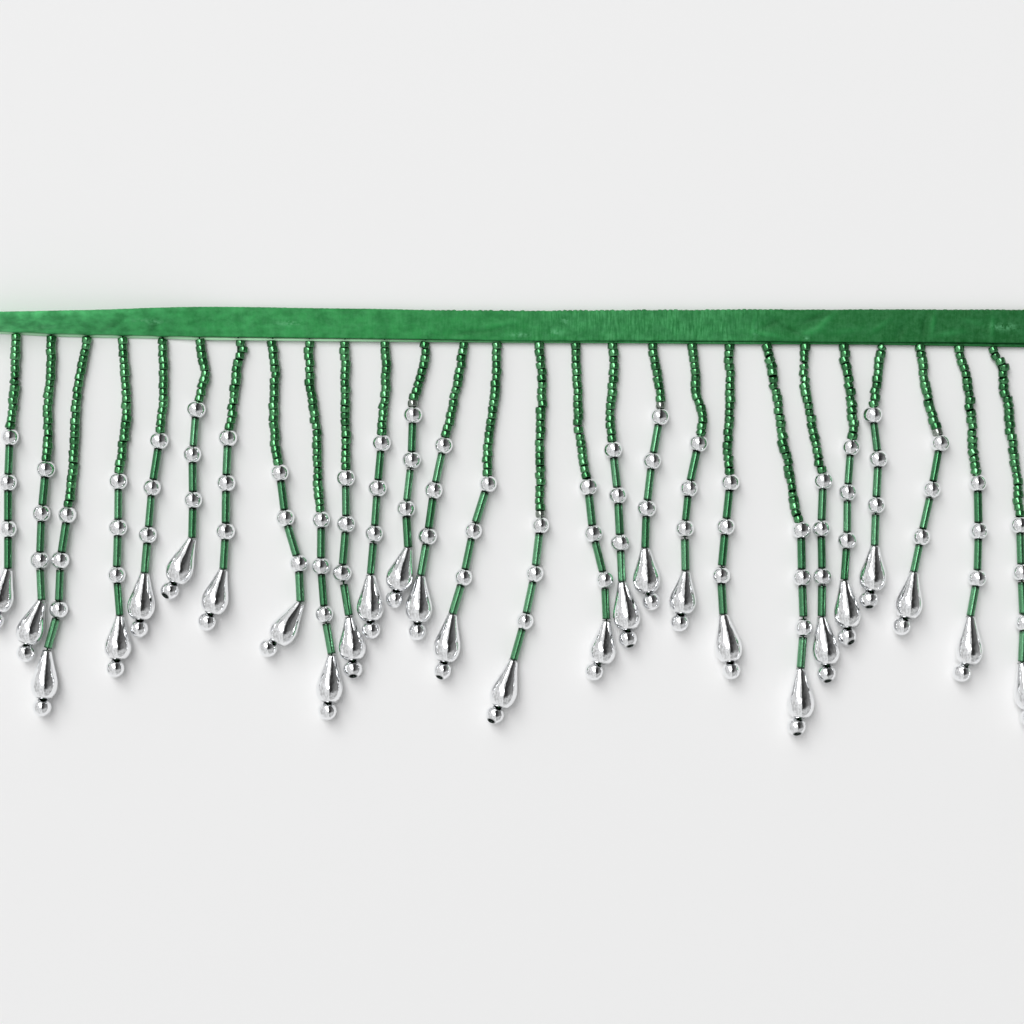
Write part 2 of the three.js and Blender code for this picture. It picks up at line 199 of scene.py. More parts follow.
# The strands' plan: 27 strands are sewn into the ribbon 8.2 mm apart and laid down by hand, so each bows and
# leans its own way. Millimetres, with every bead's x counted from its strand's root. The taut thread holds
# the end ball up against the teardrop's tip.
BALL_SEAT = 1.7 * MM
END_BALL_HEIGHT = 2.6 * MM
DROP_RADIUS = 2.95 * MM
BULB_PLACE = 0.7
STRANDS = np.array([
    # seeds, root, sway a, b, c, ball 1 x, y, ball 2 x, y, ball 3 x, y, neck x, y, bulb, end x, y
    [15, -107.9, 0.1, 0.2, 0.1, -1.2, -24.0, -1.6, -33.9, -1.6, -44.0, -1.6, -52.7, -3.2, -4.3, -63.8],
    [20, -100.3, 0.2, -0.2, 0.2, -1.0, -31.0, -1.9, -40.6, -2.3, -50.8, -1.9, -59.6, -4.2, -5.2, -70.9],
    [27, -92.3, -0.9, -0.6, 0.0, -4.3, -40.9, -5.8, -50.8, -6.2, -61.5, -8.7, -70.4, -9.1, -9.7, -82.7],
    [21, -84.8, 0.8, 1.3, 0.7, -0.7, -33.6, -0.8, -43.7, -1.1, -54.0, -0.4, -62.9, -0.7, -1.3, -74.2],
    [15, -76.1, 0.4, 0.6, 0.4, -0.5, -24.8, -2.1, -35.0, -3.0, -45.3, -3.7, -53.6, -4.3, -4.8, -65.6],
    [10, -68.0, 0.9, 1.6, 0.9, -0.6, -18.0, -1.4, -27.8, -1.3, -37.7, -1.5, -46.0, -4.0, -6.2, -57.3],
    [14, -59.6, 0.4, 0.3, 0.2, -2.1, -24.2, -2.5, -34.0, -2.6, -44.5, -3.1, -52.8, -4.8, -6.6, -64.1],
    [20, -52.1, 0.1, -0.5, -0.7, 1.7, -31.8, 2.9, -41.6, 5.8, -51.5, 6.2, -59.9, 2.6, -0.8, -69.8],
    [27, -44.1, -0.4, 0.3, -0.2, 2.7, -42.0, 2.6, -52.1, 3.4, -62.5, 5.0, -71.4, 4.5, 4.1, -83.5],
    [20, -36.3, 0.0, -0.1, 0.2, 0.2, -32.9, 0.3, -42.9, -0.6, -53.6, 1.0, -63.2, 1.7, 1.8, -74.4],
    [15, -27.7, 0.5, 0.6, 0.1, -0.6, -25.3, -1.5, -35.1, -2.2, -45.0, -3.0, -54.0, -3.0, -2.8, -65.9],
    [10, -18.8, 0.5, 0.2, -0.5, -2.7, -19.2, -3.0, -29.0, -4.2, -39.6, -3.7, -48.1, -5.5, -6.6, -59.2],
    [15, -10.5, 0.4, 0.4, 0.2, -4.3, -25.8, -6.4, -35.6, -7.8, -45.6, -9.3, -54.2, -9.7, -10.0, -66.2],
    [21, -3.3, 0.4, 0.1, -0.5, -1.9, -34.2, -5.1, -44.4, -7.2, -54.5, -9.6, -62.5, -10.8, -11.7, -74.7],
    [27, 5.9, 0.8, 0.1, 0.1, 0.3, -43.2, -0.9, -53.7, -3.1, -64.0, -5.5, -72.5, -7.7, -9.6, -84.3],
    [21, 13.8, -0.2, -0.7, -0.6, 2.8, -34.8, 3.9, -45.0, 6.4, -55.0, 6.8, -64.0, 5.9, 4.1, -74.9],
    [15, 22.1, 0.2, -0.3, -0.5, -0.1, -26.8, 1.0, -36.7, 1.5, -47.0, 1.9, -55.5, 2.8, 3.1, -67.8],
    [10, 30.6, 0.2, 0.5, 0.6, 1.6, -19.6, -0.1, -29.2, -1.3, -39.5, -1.6, -48.2, -1.4, -0.3, -59.7],
    [15, 39.2, 0.4, 0.3, 1.4, 1.4, -25.4, -0.7, -35.2, -1.6, -43.9, -1.4, -53.2, -2.1, -2.7, -64.3],
    [20, 47.3, 0.2, 0.0, -0.4, 0.2, -33.9, -0.8, -43.5, -1.8, -54.1, -1.3, -62.6, -0.3, 0.4, -74.7],
    [28, 55.6, 0.1, -0.2, -0.2, 7.3, -44.2, 7.5, -54.5, 7.9, -65.4, 7.2, -74.3, 7.1, 6.2, -86.9],
    [20, 64.1, -1.3, -0.9, -0.4, 3.6, -33.5, 3.2, -43.9, 3.4, -54.3, 3.3, -63.1, 4.1, 4.2, -75.4],
    [15, 72.3, 0.5, 0.8, 1.1, 1.4, -26.2, 0.7, -36.0, 0.6, -46.5, 0.0, -55.2, 0.5, 0.5, -67.3],
    [10, 80.5, 0.0, 0.0, -0.1, -2.0, -19.2, -0.8, -28.8, -1.3, -38.8, -1.6, -47.7, -2.2, -3.0, -59.3],
    [15, 89.0, -0.4, -0.5, -0.2, 4.1, -25.3, 2.3, -35.4, 0.0, -45.7, -1.6, -53.4, -2.8, -4.3, -65.1],
    [20, 97.3, 0.9, 0.7, 0.2, 4.0, -34.0, 4.2, -44.4, 3.9, -54.7, 2.4, -63.0, 2.0, 0.4, -75.2],
    [27, 104.9, 1.1, 1.2, 1.0, 5.6, -43.1, 5.9, -53.4, 6.4, -64.3, 6.0, -73.0, 7.1, 7.5, -85.0],
])
seed_counts = STRANDS[:, 0].astype(int)
roots = STRANDS[:, 1] * MM
sways = STRANDS[:, 2:5] * MM
beads_x = roots[:, None] + STRANDS[:, [5, 7, 9, 11, 14]] * MM
beads_y = STRANDS[:, [6, 8, 10, 12, 15]] * MM
beads_z = np.full_like(beads_x, BALL_RADIUS)
beads_z[:, 4] = END_BALL_HEIGHT
bead_places = np.stack([beads_x, beads_y, beads_z], axis=-1)
balls, necks, ends = bead_places[:, :3], bead_places[:, 3], bead_places[:, 4]
bulbs_x = roots + STRANDS[:, 13] * MM


# The ribbon heading: one 15 mm length of green ribbed satin ribbon, folded lengthwise along its top edge, so
# that its two legs hold the strands' threads. The back leg shows as a thin strip under the face. To the left
# the fold lifts off the table, which narrows the face as seen from above.
RIBBON_WIDTH = 15 * MM
RIBBON_LENGTH = 232 * MM
CLOTH_THICKNESS = 0.28 * MM
FOLD_RADIUS = 0.9 * MM
LIP_HEIGHT = 0.5 * MM
LIP_OVER_CURL = 0.8
EDGE_CURL = 1.0 * MM
CURL_SHARE = 0.34
CURL_GONE_TILT = math.radians(25)
WIDTH_GAIN = 0.12 * MM
TILT_SHARE = 0.93
RIB_PITCH = 0.5 * MM
RIB_DEPTH = 0.05 * MM
RIBS_LEAST, RIBS_RISE = 0.1, (0.0, 0.015)
RIBS_FALL = (0.040, 0.055)
CLOTH_LIFT = 0.04 * MM
TOOTH_PITCH = 1.15 * MM
TOOTH_DEPTH = 0.27 * MM
TOOTH_REACH = 0.35 * MM
TOOTH_HEIGHTS = (0.25, 1.0)
TOOTH_MEAN = 0.4
TOOTH_BLUNTNESS = 0.8
TOOTH_COUNT = 260
TEETH_FROM = -0.15
TEETH_LEAST, TEETH_RISE = 0.25, (-0.030, -0.010)
TEETH_LOST, TEETH_FALL = 0.6, (0.045, 0.065)
PUCKER_HEIGHT = 0.32 * MM
PUCKER_HALF_WIDTH = 1.1 * MM
PUCKER_REACH = 1 / 1.8
SWELL_HEIGHT = 0.05 * MM
SWELL_ALONG = 7.3 * MM
SWELL_ACROSS = 2.1 * MM
SWELL_SLANT = 11 * MM
FULL_SHINE_HEIGHT = 0.25 * MM
BACK_ROWS = 15
FOLD_ROWS = 10
FACE_ROWS = 18
FACE_SHARE_END = 1.3
OFF_FACE = 9
# The satin's green, lighter at the left end and deeper to the right: the change along the length is painted
# sheen and shade.
SATIN_GREENS_AND_SHEEN = [
    # share of the length from the left end, colour
    (0.0, (0.120, 0.640, 0.225)),
    (0.2, (0.046, 0.350, 0.098)),
    (0.45, (0.025, 0.268, 0.062)),
    (0.6, (0.017, 0.190, 0.042)),
    (0.7, (0.016, 0.180, 0.040)),
    (0.85, (0.009, 0.118, 0.023)),
    (1.0, (0.006, 0.086, 0.015)),
]
# The pale rib lines are painted highlights on the rib crests.
RIB_HIGHLIGHT_REACH = [(0.0, 0.12), (0.48, 0.15), (0.58, 0.6), (0.7, 0.6), (0.76, 0.12), (1.0, 0.08)]
RIB_HIGHLIGHT_GREEN = (0.10, 0.47, 0.17)
CLOUD_SHARE, CLOUD_GREEN = 0.6, (0.014, 0.14, 0.035)
# Lit and shaded greens on the creases are painted light and painted shade.
LIT_SHARE, LIT_GREEN = 0.45, (0.045, 0.36, 0.10)
SHADED_SHARE, SHADED_GREEN = 0.5, (0.008, 0.085, 0.018)
WORN_ALL, SCUFF_GREEN = 0.1, (0.16, 0.52, 0.25)
LINE_CONTRAST = (0.36, 0.64)
SPECK_CONTRAST = (0.4, 0.62)
# A painted highlight along the back leg's edge, strongest at the left end.
EDGE_HIGHLIGHT_REACH = [(0.0, 0.9), (0.34, 0.75), (0.43, 0.15), (0.6, 0.0)]
EDGE_HIGHLIGHT_WIDTH = (0.9 * MM, 0.5 * MM)
EDGE_HIGHLIGHT_GREEN = (0.56, 0.88, 0.60)
SATIN_ROUGHNESS = (0.42, 0.6)
HEADING = np.array([
    # x, low, width, lip in millimetres, tilt in degrees
    [-116.0, -1.3, 7.05, 0.40, 57],
    [-111.3, -1.4, 7.05, 0.40, 54],
    [-99.6, -2.0, 7.05, 0.60, 43],
    [-87.8, -2.3, 7.05, 0.55, 34],
    [-75.9, -2.5, 7.05, 0.50, 21],
    [-57.0, -2.9, 7.05, 0.65, 0],
    [-37.4, -3.1, 7.00, 0.60, 0],
    [-13.5, -3.3, 6.85, 0.50, 0],
    [0.0, -3.4, 6.85, 0.35, 0],
    [23.5, -3.5, 7.05, 0.45, 0],
    [48.5, -3.7, 7.35, 0.60, 0],
    [73.5, -3.8, 7.45, 0.40, 0],
    [95.2, -4.1, 7.75, 0.70, 0],
    [116.0, -4.5, 8.05, 0.85, 0],
])
CREASES = np.array([
    # x, share of the face from the lip to the fold, turn in degrees, half-length, half-width, height in mm
    [-86.5, 0.45, 35, 3.2, 0.8, -0.16],
    [-83.0, 0.70, 20, 3.0, 0.8, 0.12],
    [-77.5, 0.45, 70, 2.2, 0.7, -0.20],
    [-74.0, 0.75, 15, 2.5, 0.6, 0.14],
    [-48.0, 0.40, -20, 2.5, 0.7, 0.14],
    [-30.0, 0.50, 15, 5.0, 0.9, 0.10],
    [-8.0, 0.30, 8, 6.0, 0.8, -0.22],
    [-2.5, 0.62, 12, 4.0, 0.7, 0.16],
    [9.3, 0.30, 60, 1.6, 0.6, 0.12],
    [52.6, 0.50, 84, 3.0, 0.5, 0.16],
    [56.5, 0.62, 30, 2.6, 0.8, -0.26],
    [55.5, 0.25, -12, 3.6, 0.6, 0.24],
    [60.8, 0.42, -30, 3.0, 0.6, -0.24],
    [65.2, 0.36, 20, 2.8, 0.8, 0.30],
    [67.8, 0.66, 48, 3.0, 0.7, 0.28],
    [66.0, 0.84, 25, 3.2, 0.6, -0.28],
    [73.0, 0.40, 8, 4.0, 0.8, 0.12],
    [80.0, 0.55, 40, 3.0, 0.7, 0.14],
    [84.5, 0.35, 62, 2.4, 0.8, -0.16],
    [89.6, 0.50, 82, 3.2, 0.5, -0.26],
    [91.6, 0.62, 84, 2.8, 0.5, 0.22],
    [95.0, 0.30, 12, 3.4, 0.7, 0.16],
    [100.5, 0.70, -20, 3.0, 0.7, 0.10],
    [104.5, 0.55, 85, 2.6, 0.5, 0.18],
    [112.0, 0.50, -15, 3.0, 0.7, -0.14],
])
SCUFFS = np.array([
    # x, share of the face, half-length, half-height in mm, strength
    [-80.2, 0.72, 1.6, 0.5, 0.9],
    [-77.4, 0.62, 1.8, 0.6, 0.9],
    [-48.3, 0.55, 2.2, 0.5, 1.0],
    [-101.0, 0.45, 3.0, 0.8, 0.4],
    [1.7, 0.22, 1.8, 0.5, 0.8],
    [9.3, 0.30, 1.4, 0.6, 0.9],
    [11.5, 0.75, 1.0, 0.9, 0.7],
    [53.0, 0.30, 0.5, 1.6, 0.6],
    [63.9, 0.12, 0.7, 0.4, 0.8],
    [107.2, 0.55, 2.2, 0.7, 0.8],
])


def smooth_step(value, low, high):
    """0 below low, 1 above high and 3t^2 - 2t^3 in between."""
    t = np.clip((value - low) / (high - low), 0, 1)
    return t * t * (3 - 2 * t)


def heading_column(column, x):
    """A column of the heading's table at x: cubic pieces whose slope at a row is the harmonic mean of the
    slopes on either side of it, or 0 where they differ in sign, so that nothing overshoots."""
    places = HEADING[:, 0] * MM
    values = HEADING[:, column]
    slopes = np.diff(values) / np.diff(places)
    before, after = slopes[:-1], slopes[1:]
    same = before * after > 0
    mean = np.where(same, 2 * before * after / np.where(same, before + after, 1), 0)
    knots = np.concatenate([slopes[:1], mean, slopes[-1:]])
    row = np.clip(np.searchsorted(places, x, side="left") - 1, 0, len(places) - 2)
    span = places[row + 1] - places[row]
    t = (x - places[row]) / span
    ease = t * t * (3 - 2 * t)
    bend = t * (1 - t) * ((1 - t) * knots[row] - t * knots[row + 1])
    return values[row] * (1 - ease) + values[row + 1] * ease + bend * span


def grid_faces(pieces, rows, columns, wrap_rows, wrap_columns):
    """The quads over pieces of rows x columns points: each joins a point, the next in its column, the one
    past it and the next in its row. A wrapped direction joins its last point to its first."""
    r = np.arange(rows if wrap_rows else rows - 1)[:, None]
    c = np.arange(columns if wrap_columns else columns - 1)[None, :]
    next_r = (r + 1) % rows
    next_c = (c + 1) % columns
    corners = [r * columns + c, r * columns + next_c, next_r * columns + next_c, next_r * columns + c]
    quads = np.stack(corners, axis=-1).reshape(-1, 4)
    first = np.arange(pieces)[:, None, None] * rows * columns
    return (first + quads).reshape(-1, 4)


def mesh_piece(name, points, quads, caps=()):
    """A smooth mesh object from an array of points, quads and rows of end caps, put in with foreach_set."""
    faces = [quads, *caps]
    corners = np.concatenate([f.ravel() for f in faces])
    sizes = np.concatenate([np.full(len(f), f.shape[1]) for f in faces])
    mesh = bpy.data.meshes.new(name)
    mesh.vertices.add(points.size // 3)
    mesh.vertices.foreach_set("co", points.astype(np.float32).ravel())
    mesh.loops.add(len(corners))
    mesh.loops.foreach_set("vertex_index", corners.astype(np.int32))
    mesh.polygons.add(len(sizes))
    mesh.polygons.foreach_set("loop_start", (np.cumsum(sizes) - sizes).astype(np.int32))
    mesh.update(calc_edges=True)
    mesh.shade_smooth()
    piece = bpy.data.objects.new(name, mesh)
    bpy.context.scene.collection.objects.link(piece)
    return piece


def point_value(piece, name, values):
    """A number at each point of the piece, which its material reads by name."""
    attribute = piece.data.attributes.new(name, "FLOAT", "POINT")
    attribute.data.foreach_set("value", values.astype(np.float32).ravel())


def crease_height(x, share):
    """The sum of the creases: each is a Gauss bell, long along its turned line and narrow across it."""
    total = np.zeros_like(x)
    face_width = RIBBON_WIDTH / 2
    for place, middle, turn, half_length, half_width, height in CREASES:
        along_x = x - place * MM
        along_y = (share - middle) * face_width
        c, s = math.cos(math.radians(turn)), math.sin(math.radians(turn))
        along = (along_x * c + along_y * s) / (half_length * MM)
        across = (along_y * c - along_x * s) / (half_width * MM)
        total += height * MM * np.exp(-along * along - across * across)
    return total


def tooth_wave(x):
    """The small teeth that the ribs make of the folded edge: a row of half sine waves of uneven height, less
    their mean. They have a quarter of their height to the left, all of it in the middle and less to the
    right."""
    heights = rng.uniform(*TOOTH_HEIGHTS, TOOTH_COUNT)
    place = (x - TEETH_FROM) / TOOTH_PITCH
    wave = heights[np.floor(place).astype(int)] * np.sin(math.pi * (place % 1)) ** TOOTH_BLUNTNESS
    clear = smooth_step(x, *TEETH_RISE) * (1 - TEETH_LOST * smooth_step(x, *TEETH_FALL))
    return (wave - TOOTH_MEAN) * (TEETH_LEAST + (1 - TEETH_LEAST) * clear)


def pucker_height(x, share):
    """Where a strand's thread enters the fold, the face rides over it: a Gauss bell along the ribbon, which
    is highest at the lip and sinks to nothing halfway up the face."""
    bells = np.exp(-(((x[..., None] - roots) / PUCKER_HALF_WIDTH) ** 2)).sum(axis=-1)
    return PUCKER_HEIGHT * bells * np.clip(1 - share / PUCKER_REACH, 0, 1) ** 1.5


def ribbon_surface():
    """The cloth's middle surface. Its section runs along the back leg, whose edge curls up as a square law
    where the ribbon isn't tilted, round the fold as a half circle, and back along the face, which sinks to
    the lip as a quarter sine. The section is turned by the tilt about the back leg's edge. Ribs, teeth,
    puckers, creases and a slow swell lift each point along the section's normal. Also the places on the flat
    cloth, how scuffed each point is, and how far a crease turns it to the light."""
    low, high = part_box("ribbon_heading")
    steps = int(round((high.x - low.x) / (RIB_PITCH / 2)))
    x = np.linspace(low.x, high.x, steps + 1)[:, None]
    tilt = np.radians(heading_column(4, x) * TILT_SHARE)
    edge = heading_column(1, x) * MM
    strip = heading_column(3, x) * MM
    centre = heading_column(2, x) * MM + WIDTH_GAIN - FOLD_RADIUS
    half = CLOTH_THICKNESS / 2
    radius = FOLD_RADIUS - half
    curl = EDGE_CURL * (1 - smooth_step(tilt, 0, CURL_GONE_TILT))
    lip_height = LIP_HEIGHT + LIP_OVER_CURL * curl
    lip = (strip + lip_height * np.sin(tilt)) / np.cos(tilt)

    back = np.linspace(0, 1, BACK_ROWS)[None, :-1]
    turn = np.linspace(-math.pi / 2, math.pi / 2, FOLD_ROWS)[None, :]
    face = np.linspace(1, 0, FACE_ROWS)[None, 1:]
    rise = 2 * FOLD_RADIUS - half - lip_height
    across = np.concatenate(
        [back * centre, centre + radius * np.cos(turn), lip + face * (centre - lip)], axis=1
    )
    up = np.concatenate(
        [
            half + curl * np.clip(1 - back / CURL_SHARE, 0, 1) ** 2,
            FOLD_RADIUS + radius * np.sin(turn) + 0 * x,
            lip_height + rise * np.sin(face * math.pi / 2),
        ],
        axis=1,
    )
    d_across = np.gradient(across, axis=1)
    d_up = np.gradient(up, axis=1)
    length = np.hypot(d_across, d_up)
    x = x + 0 * across
    on_fold = np.exp(-((across - centre - radius) / TOOTH_REACH) ** 2)
    rib = np.where(np.arange(steps + 1) % 2 == 0, 0.5, -0.5)[:, None] * RIB_DEPTH
    plain = smooth_step(x, *RIBS_RISE) * (1 - smooth_step(x, *RIBS_FALL))
    rib = rib * (RIBS_LEAST + (1 - RIBS_LEAST) * plain)
    on_face = np.arange(across.shape[1])[None] >= BACK_ROWS - 1 + FOLD_ROWS // 2
    share = np.where(on_face, np.clip((across - lip) / (centre - lip), 0, FACE_SHARE_END), OFF_FACE)
    swell = SWELL_HEIGHT * np.sin(x / SWELL_ALONG) * np.sin(across / SWELL_ACROSS + x / SWELL_SLANT)
    soft_relief = crease_height(x, share) + pucker_height(x, share) + np.where(on_face, swell, 0)
    lift = rib + TOOTH_DEPTH * tooth_wave(x) * on_fold + soft_relief * (share < FACE_SHARE_END)
    across = across + lift * d_up / length
    up = np.maximum(up - lift * d_across / length, half)
    y = edge + across * np.cos(tilt) - (up - half) * np.sin(tilt)
    z = half + CLOTH_LIFT + across * np.sin(tilt) + (up - half) * np.cos(tilt)
    points = np.stack([x, y, z], axis=-1)
    along_cloth = np.cumsum(length, axis=1) - length
    shine = np.clip(crease_height(x, share) / FULL_SHINE_HEIGHT, -1, 1)
    return points, x, along_cloth, scuff_share(x, share), shine


def scuff_share(x, share):
    """How scuffed each point of the face is: the sum of a few Gauss bells."""
    total = np.zeros_like(x)
    for place, middle, half_length, half_height, strength in SCUFFS:
        along = (x / MM - place) / half_length
        across = (share - middle) * (RIBBON_WIDTH / 2 / MM) / half_height
        total += strength * np.exp(-along * along - across * across)
    return total


def new_group(name, inputs, outputs):
    """A shader node group with sockets given as (name, kind) pairs, and what its input node puts out."""
    tree = bpy.data.node_groups.new(name, "ShaderNodeTree")
    for in_out, sockets in (("INPUT", inputs), ("OUTPUT", outputs)):
        for socket, kind in sockets:
            tree.interface.new_socket(socket, in_out=in_out, socket_type="NodeSocket" + kind)
    return tree, add_node(tree, "NodeGroupInput").outputs


def streak_group():
    """A pattern of fine uneven lines: noise that is stretched along one way of the vector it is given."""
    sockets = [("Vector", "Vector"), ("Scale", "Vector")]
    tree, given = new_group("fine_lines", sockets, [("Mask", "Float")])
    factors = {0: given["Vector"], 1: given["Scale"]}
    stretched = add_node(tree, "ShaderNodeVectorMath", factors, operation="MULTIPLY")
    lines = {"Vector": stretched, "Scale": 1.0, "Detail": 3.0, "Roughness": 0.6}
    noise = add_node(tree, "ShaderNodeTexNoise", lines)
    add_node(tree, "NodeGroupOutput", {"Mask": map_range(tree, noise, LINE_CONTRAST)})
    return tree


def place_group(tree, group, **inputs):
    """A node that holds the group, with its inputs."""
    node = add_node(tree, "ShaderNodeGroup", node_tree=group)
    set_inputs(node, inputs)
    return node


def ramp(tree, value, stops):
    """A colour ramp over the value. Its stops are (place, colour) or (place, grey) pairs, left to right."""
    node = add_node(tree, "ShaderNodeValToRGB", {"Fac": value})
    elements = node.color_ramp.elements
    while len(elements) < len(stops):
        elements.new(0.5)
    for element, (position, colour) in zip(elements, stops):
        element.position = position
        element.color = (*np.broadcast_to(colour, 3), 1)
    return node


def point_mask(tree, name):
    """The number that point_value has put at each point of the piece."""
    return add_node(tree, "ShaderNodeAttribute", attribute_name=name).outputs["Fac"]


fine_lines = streak_group()


def satin_material():
    """Green satin: the colour deepens from left to right, which is painted sheen and shade along the length,
    lightest at the left end. It has pale fine lines along the ribs, which are painted highlights on the rib
    crests; darker clouds;
    lighter and darker green where the creases turn to and from the light, which is painted light and shade;
    paler scuffs; a painted highlight along the back leg's edge; and a slightly uneven gloss."""
    material, tree, shader = new_material(
        "green_satin", Sheen_Weight=0.05, Sheen_Roughness=0.4, Specular_IOR_Level=0.1
    )
    uv = add_node(tree, "ShaderNodeUVMap", uv_map="cloth")
    place = add_node(tree, "ShaderNodeTexCoord").outputs["Object"]
    x = add_node(tree, "ShaderNodeSeparateXYZ", {0: place}).outputs["X"]
    from_edge = add_node(tree, "ShaderNodeSeparateXYZ", {0: uv}).outputs["Y"]
    length = map_range(tree, x, (-RIBBON_LENGTH / 2, RIBBON_LENGTH / 2))
    ribs = place_group(tree, fine_lines, Vector=uv, Scale=(2100, 300, 1))
    clouds = place_group(tree, fine_lines, Vector=uv, Scale=(300, 420, 1))
    turn = point_mask(tree, "shine")
    specks = {"Vector": place, "Scale": 900.0, "Detail": 4.0, "Roughness": 0.7}
    worn = map_range(tree, add_node(tree, "ShaderNodeTexNoise", specks), SPECK_CONTRAST)
    scuffed = maths(tree, "ADD", point_mask(tree, "scuff"), WORN_ALL)
    # the painted highlight along the back leg's edge
    edge_highlight = map_range(tree, from_edge, EDGE_HIGHLIGHT_WIDTH)
    layers = [
        # painted highlights on the rib crests
        (maths(tree, "MULTIPLY", ribs, ramp(tree, length, RIB_HIGHLIGHT_REACH)), RIB_HIGHLIGHT_GREEN),
        (maths(tree, "MULTIPLY", clouds, CLOUD_SHARE), CLOUD_GREEN),
        # painted light and painted shade on the creases
        (map_range(tree, turn, (0, 1), (0, LIT_SHARE)), LIT_GREEN),
        (map_range(tree, turn, (0, -1), (0, SHADED_SHARE)), SHADED_GREEN),
        (maths(tree, "MULTIPLY", scuffed, worn), SCUFF_GREEN),
        # painted highlight along the back leg's edge
        (maths(tree, "MULTIPLY", edge_highlight, ramp(tree, length, EDGE_HIGHLIGHT_REACH)), EDGE_HIGHLIGHT_GREEN),
    ]
    # the green ramp along the length is painted sheen and shade over the satin's own green
    colour = ramp(tree, length, SATIN_GREENS_AND_SHEEN)
    for share, green in layers:
        colour = mix(tree, share, colour, (*green, 1))
    gloss = map_range(tree, clouds, (0, 1), SATIN_ROUGHNESS)
    bump = add_node(tree, "ShaderNodeBump", {"Strength": 0.3, "Distance": 0.06 * MM, "Height": ribs})
    set_inputs(shader, {"Base Color": colour, "Roughness": gloss, "Normal": bump})
    return material


ribbon_points, cloth_u, cloth_v, scuffed_share, crease_shine = ribbon_surface()
ribbon_faces = grid_faces(1, ribbon_points.shape[0], ribbon_points.shape[1], False, False)
ribbon = mesh_piece("folded_ribbon", ribbon_points, ribbon_faces)
point_value(ribbon, "scuff", scuffed_share)
point_value(ribbon, "shine", crease_shine)
cloth_map = ribbon.data.uv_layers.new(name="cloth")
cloth_uv = np.stack([cloth_u.ravel(), cloth_v.ravel()], axis=-1)[ribbon_faces.ravel()]
cloth_map.data.foreach_set("uv", cloth_uv.astype(np.float32).ravel())
cloth = ribbon.modifiers.new("cloth", "SOLIDIFY")
cloth.thickness = CLOTH_THICKNESS
cloth.offset = 0
ribbon.data.materials.append(satin_material())
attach(ribbon, "root")
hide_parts("ribbon_heading")


# The strands' routes: the thread through the middle of every bead. It comes out of the fold, lies along a
# bowed run of seed beads on the table, and rises to the first silver ball's hole.
SEED_RADIUS = 1.1 * MM
FIRST_SEED = 0.45 * MM
RISE_LENGTH = 6 * MM
ROUTE_STEPS = 48
HALF_CHORD = 0.2 * MM


def unit(vectors):
    """Each vector divided by its length."""
    return vectors / np.linalg.norm(vectors, axis=-1, keepdims=True)


def seed_routes():
    """The run of each strand from the ribbon to ball 1, as points and their distances from the start: cubic
    pieces through the start, three swayed quarter points and the ball, each with the slope of the points on
    either side of it (Catmull-Rom). The beads lie on the table, and rise to the ball's hole at the end."""
    start_y = heading_column(1, roots) * MM - FIRST_SEED
    start = np.stack([roots, start_y], axis=-1)
    ball = balls[:, 0, :2]
    shares = np.linspace(0, 1, 5)[None, :, None]
    knots = start[:, None] * (1 - shares) + ball[:, None] * shares
    knots[:, 1:4, 0] += sways
    first = 2 * knots[:, :1] - knots[:, 1:2]
    last = 2 * knots[:, -1:] - knots[:, -2:-1]
    padded = np.concatenate([first, knots, last], axis=1)
    t = np.linspace(0, 1, ROUTE_STEPS, endpoint=False)[None, None, :, None]
    p0, p1, p2, p3 = (padded[:, i : i + 4, None] for i in range(4))
    curve = (
        2 * p1
        + (p2 - p0) * t
        + (2 * p0 - 5 * p1 + 4 * p2 - p3) * t**2
        + (3 * p1 - p0 - 3 * p2 + p3) * t**3
    ) / 2
    flat = np.concatenate([curve.reshape(len(curve), -1, 2), ball[:, None]], axis=1)
    steps = np.linalg.norm(np.diff(flat, axis=1), axis=-1)
    travelled = np.concatenate([np.zeros((len(flat), 1)), np.cumsum(steps, axis=1)], axis=1)
    to_ball = travelled[:, -1:] - travelled
    rise = (BALL_RADIUS - SEED_RADIUS) * (1 - smooth_step(to_ball, BALL_SEAT, BALL_SEAT + RISE_LENGTH))
    height = SEED_RADIUS + rise
    return np.concatenate([flat, height[..., None]], axis=-1), travelled


def along_route(strand, distances):
    """Points at distances along one strand's seed run, read between its route points, and the unit
    directions of short chords there."""
    behind, place, ahead = (
        np.stack([np.interp(distances + step, route_lengths[strand], c) for c in routes[strand].T], axis=-1)
        for step in (-HALF_CHORD, 0, HALF_CHORD)
    )
    return place, unit(ahead - behind)


routes, route_lengths = seed_routes()
drop_lengths = np.linalg.norm(ends - necks, axis=-1) - BALL_RADIUS
drop_lean = (bulbs_x - necks[:, 0]) / (BULB_PLACE * drop_lengths)
drop_lift = (DROP_RADIUS - BALL_RADIUS) / (BULB_PLACE * drop_lengths)
drop_axes = unit(np.stack([drop_lean, -np.sqrt(1 - drop_lean**2), drop_lift], axis=-1))
drop_tips = necks + drop_axes * drop_lengths[:, None]


